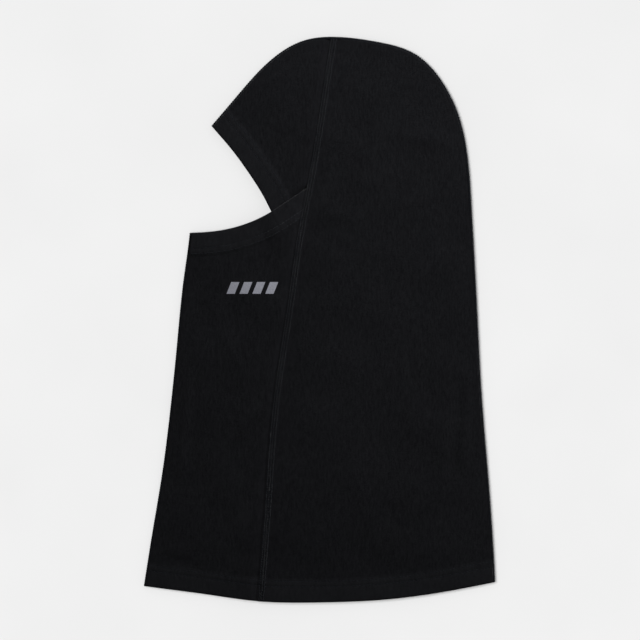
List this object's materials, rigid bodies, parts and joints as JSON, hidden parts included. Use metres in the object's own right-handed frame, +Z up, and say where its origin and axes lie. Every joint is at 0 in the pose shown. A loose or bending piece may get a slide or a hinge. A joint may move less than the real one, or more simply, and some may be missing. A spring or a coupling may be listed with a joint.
{
  "type": "balaclava",
  "caption": "Knitted balaclava lying flat, sewn from panels, with a face opening between the brow and an overlapping bib, turned hems and an open neck.",
  "frame": {"origin": "on the table, below the middle of the flat garment", "axes": "+Y from the neck hem to the crown, +X from the face opening to the back of the head, +Z up from the table"},
  "size_m": [0.299, 0.4817, 0.0129],
  "materials": {
    "jersey": "matt double-knit jersey, near black",
    "flat_seam": "textured polyester seam thread, near black, faint sheen",
    "hem_thread": "polyester sewing thread, near black, faint sheen",
    "print_film": "grey heat-pressed film"
  },
  "bodies": {
    "root": {"left_back_panel": "jersey", "left_brow_panel": "jersey", "left_bib_panel": "jersey", "right_back_panel": "jersey", "right_brow_panel": "jersey", "right_bib_panel": "jersey", "left_brow_hem": "jersey", "left_bib_hem": "jersey", "left_front_neck_hem": "jersey", "left_back_neck_hem": "jersey", "right_brow_hem": "jersey", "right_bib_hem": "jersey", "right_front_neck_hem": "jersey", "right_back_neck_hem": "jersey", "left_side_seam": "flat_seam", "right_side_seam": "flat_seam", "centre_back_seam": "flat_seam", "centre_brow_seam": "flat_seam", "centre_front_seam": "flat_seam", "left_brow_hem_stitching": "hem_thread", "left_bib_hem_stitching": "hem_thread", "left_front_neck_stitching": "hem_thread", "left_back_neck_stitching": "hem_thread", "right_bib_hem_stitching": "hem_thread", "right_front_neck_stitching": "hem_thread", "right_back_neck_stitching": "hem_thread", "right_brow_hem_stitching": "hem_thread", "printed_mark": "print_film"}
  },
  "joints": []
}
